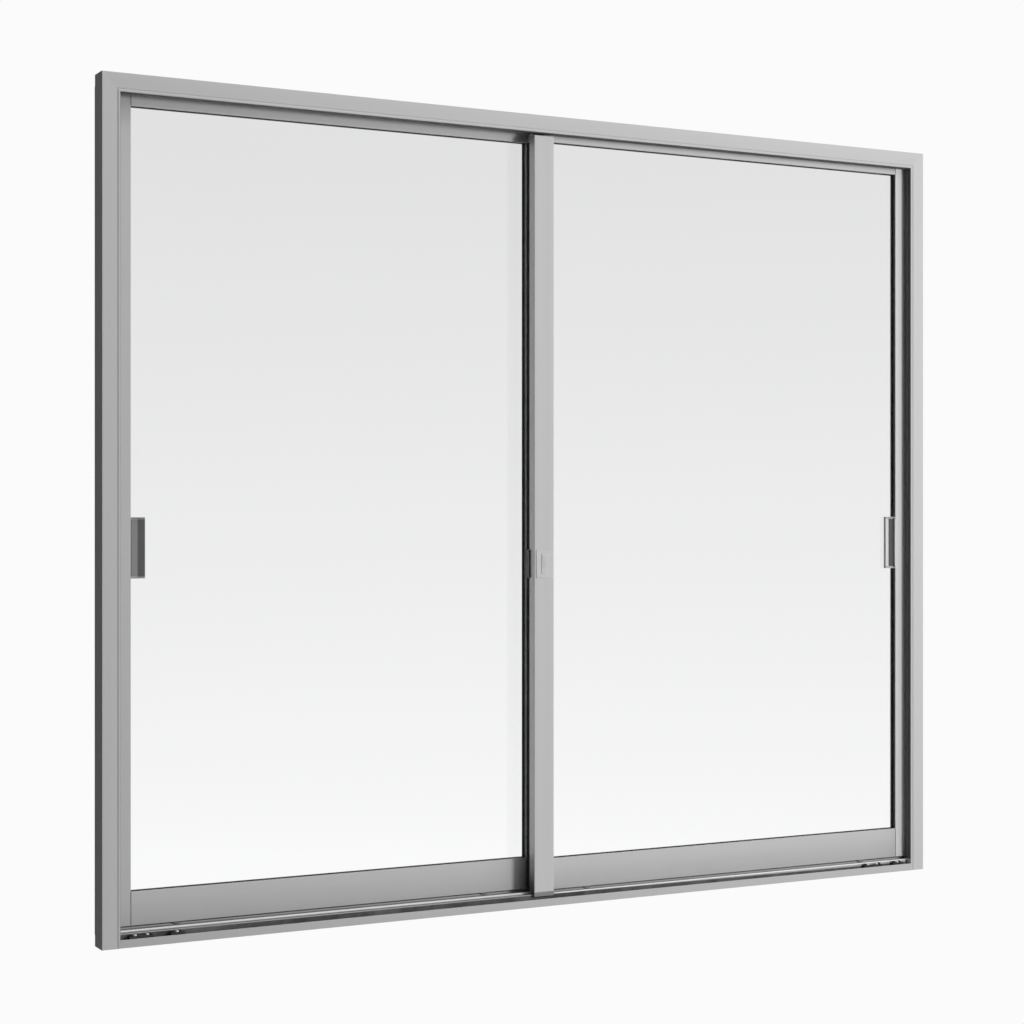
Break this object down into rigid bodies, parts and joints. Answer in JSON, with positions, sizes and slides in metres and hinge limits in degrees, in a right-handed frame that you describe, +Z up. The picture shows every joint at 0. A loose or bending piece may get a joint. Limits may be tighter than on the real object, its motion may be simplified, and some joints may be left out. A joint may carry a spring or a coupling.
{
  "type": "horizontal sliding window",
  "caption": "Horizontal sliding window: a satin aluminium casing frame with glazed sashes that roll past each other on sill tracks, with finger pulls and a flush lock plate.",
  "frame": {"origin": "on the rear face of the casing, where it laps the wall, at the middle of the sill", "axes": "+X to the right seen from the room, +Y outdoors through the wall, +Z up"},
  "size_m": [1.845, 0.0859, 1.57],
  "materials": {
    "frame_aluminium": "satin anodised, silver grey",
    "sash_aluminium": "satin anodised, silver grey",
    "track_steel": "drawn stainless",
    "stop_metal": "black coated",
    "rubber": "matt black",
    "foot_plastic": "moulded",
    "dark_plastic": "moulded",
    "pull_plastic": "moulded grey",
    "lock_plastic": "moulded, pale",
    "nylon": "natural nylon",
    "glass": "clear float"
  },
  "bodies": {
    "frame": {"left_jamb": "frame_aluminium", "right_jamb": "frame_aluminium", "head": "frame_aluminium", "sill": "frame_aluminium", "near_track": "track_steel", "rear_track": "track_steel", "left_bumpers": "rubber", "right_bumpers": "rubber", "left_sill_stop": "stop_metal", "right_sill_stop": "stop_metal"},
    "near_sash": {"near_outer_stile": "sash_aluminium", "near_meeting_stile": "sash_aluminium", "near_top_rail": "sash_aluminium", "near_bottom_rail": "sash_aluminium", "near_glass": "glass", "near_front_gasket": "rubber", "near_back_gasket": "rubber", "near_rollers": "nylon", "near_roller_brackets": "track_steel", "near_head_guides": "nylon", "near_stile_foot": "foot_plastic", "near_finger_pull": "pull_plastic", "near_lock_plate": "lock_plastic", "near_lock_slide": "lock_plastic", "near_latch": "dark_plastic"},
    "rear_sash": {"rear_outer_stile": "sash_aluminium", "rear_meeting_stile": "sash_aluminium", "rear_top_rail": "sash_aluminium", "rear_bottom_rail": "sash_aluminium", "rear_glass": "glass", "rear_front_gasket": "rubber", "rear_back_gasket": "rubber", "rear_rollers": "nylon", "rear_roller_brackets": "track_steel", "rear_head_guides": "nylon", "rear_stile_foot": "foot_plastic", "rear_finger_pull": "pull_plastic", "rear_keeper": "dark_plastic"}
  },
  "joints": [
    {"name": "near_sash_slide", "type": "slide", "parent": "frame", "child": "near_sash", "axis": [-1, 0, 0], "range_m": [0, 0.719]},
    {"name": "rear_sash_slide", "type": "slide", "parent": "frame", "child": "rear_sash", "axis": [1, 0, 0], "range_m": [0, 0.891]}
  ]
}
